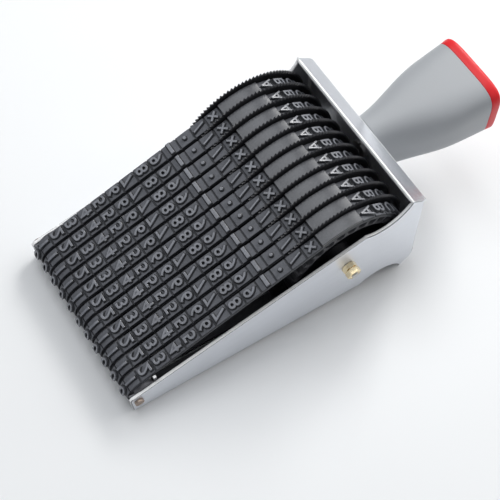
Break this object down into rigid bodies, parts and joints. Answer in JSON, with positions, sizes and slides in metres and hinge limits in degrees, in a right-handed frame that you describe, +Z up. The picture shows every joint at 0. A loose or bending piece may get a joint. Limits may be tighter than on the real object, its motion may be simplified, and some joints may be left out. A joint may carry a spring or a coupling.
{
  "type": "alphabet roller stamp",
  "caption": "Hand-held roller stamp: tapered bent-steel frame, rubber type bands side by side from a nose bar to serrated thumbwheels on one axle, flared handle with a red end cap.",
  "frame": {"origin": "middle of the bounding box on the table that the stamp lies on", "axes": "+X from the nose to the handle, +Y to the far side along the axle, +Z up; the stamp lies on the bands at its nose and on the serrated rims of its wheels"},
  "size_m": [0.1896, 0.0894, 0.0647],
  "materials": {
    "frame_steel": "satin nickel-plated sheet",
    "plain_steel": "turned steel",
    "nut_brass": "machined brass",
    "handle_plastic": "satin moulded plastic",
    "cap_plastic": "gloss moulded plastic",
    "wheel_plastic": "black moulded plastic",
    "band_rubber": "moulded grey-black rubber"
  },
  "bodies": {
    "stamp": {"frame": "frame_steel", "handle": "handle_plastic", "handle_cap": "cap_plastic", "handle_screw": "plain_steel", "nose_bar": "plain_steel", "nose_screw_near": "plain_steel", "nose_screw_far": "plain_steel", "axle": "plain_steel", "axle_washer": "plain_steel", "axle_nut_near": "nut_brass", "axle_locknut_near": "nut_brass", "axle_nut_far": "nut_brass", "axle_locknut_far": "nut_brass", "type_band_01": "band_rubber", "type_band_02": "band_rubber", "type_band_03": "band_rubber", "type_band_04": "band_rubber", "type_band_05": "band_rubber", "type_band_06": "band_rubber", "type_band_07": "band_rubber", "type_band_08": "band_rubber", "type_band_09": "band_rubber", "type_band_10": "band_rubber", "type_band_11": "band_rubber"},
    "wheel_01": {"thumbwheel_01": "wheel_plastic"},
    "wheel_02": {"thumbwheel_02": "wheel_plastic"},
    "wheel_03": {"thumbwheel_03": "wheel_plastic"},
    "wheel_04": {"thumbwheel_04": "wheel_plastic"},
    "wheel_05": {"thumbwheel_05": "wheel_plastic"},
    "wheel_06": {"thumbwheel_06": "wheel_plastic"},
    "wheel_07": {"thumbwheel_07": "wheel_plastic"},
    "wheel_08": {"thumbwheel_08": "wheel_plastic"},
    "wheel_09": {"thumbwheel_09": "wheel_plastic"},
    "wheel_10": {"thumbwheel_10": "wheel_plastic"},
    "wheel_11": {"thumbwheel_11": "wheel_plastic"}
  },
  "joints": [
    {"name": "wheel_01_turn", "type": "hinge", "parent": "stamp", "child": "wheel_01", "pos_m": [0.0033, 0, 0.0314], "axis": [0, 1, 0], "continuous": true},
    {"name": "wheel_02_turn", "type": "hinge", "parent": "stamp", "child": "wheel_02", "pos_m": [0.0033, 0, 0.0314], "axis": [0, 1, 0], "continuous": true},
    {"name": "wheel_03_turn", "type": "hinge", "parent": "stamp", "child": "wheel_03", "pos_m": [0.0033, 0, 0.0314], "axis": [0, 1, 0], "continuous": true},
    {"name": "wheel_04_turn", "type": "hinge", "parent": "stamp", "child": "wheel_04", "pos_m": [0.0033, 0, 0.0314], "axis": [0, 1, 0], "continuous": true},
    {"name": "wheel_05_turn", "type": "hinge", "parent": "stamp", "child": "wheel_05", "pos_m": [0.0033, 0, 0.0314], "axis": [0, 1, 0], "continuous": true},
    {"name": "wheel_06_turn", "type": "hinge", "parent": "stamp", "child": "wheel_06", "pos_m": [0.0033, 0, 0.0314], "axis": [0, 1, 0], "continuous": true},
    {"name": "wheel_07_turn", "type": "hinge", "parent": "stamp", "child": "wheel_07", "pos_m": [0.0033, 0, 0.0314], "axis": [0, 1, 0], "continuous": true},
    {"name": "wheel_08_turn", "type": "hinge", "parent": "stamp", "child": "wheel_08", "pos_m": [0.0033, 0, 0.0314], "axis": [0, 1, 0], "continuous": true},
    {"name": "wheel_09_turn", "type": "hinge", "parent": "stamp", "child": "wheel_09", "pos_m": [0.0033, 0, 0.0314], "axis": [0, 1, 0], "continuous": true},
    {"name": "wheel_10_turn", "type": "hinge", "parent": "stamp", "child": "wheel_10", "pos_m": [0.0033, 0, 0.0314], "axis": [0, 1, 0], "continuous": true},
    {"name": "wheel_11_turn", "type": "hinge", "parent": "stamp", "child": "wheel_11", "pos_m": [0.0033, 0, 0.0314], "axis": [0, 1, 0], "continuous": true}
  ]
}
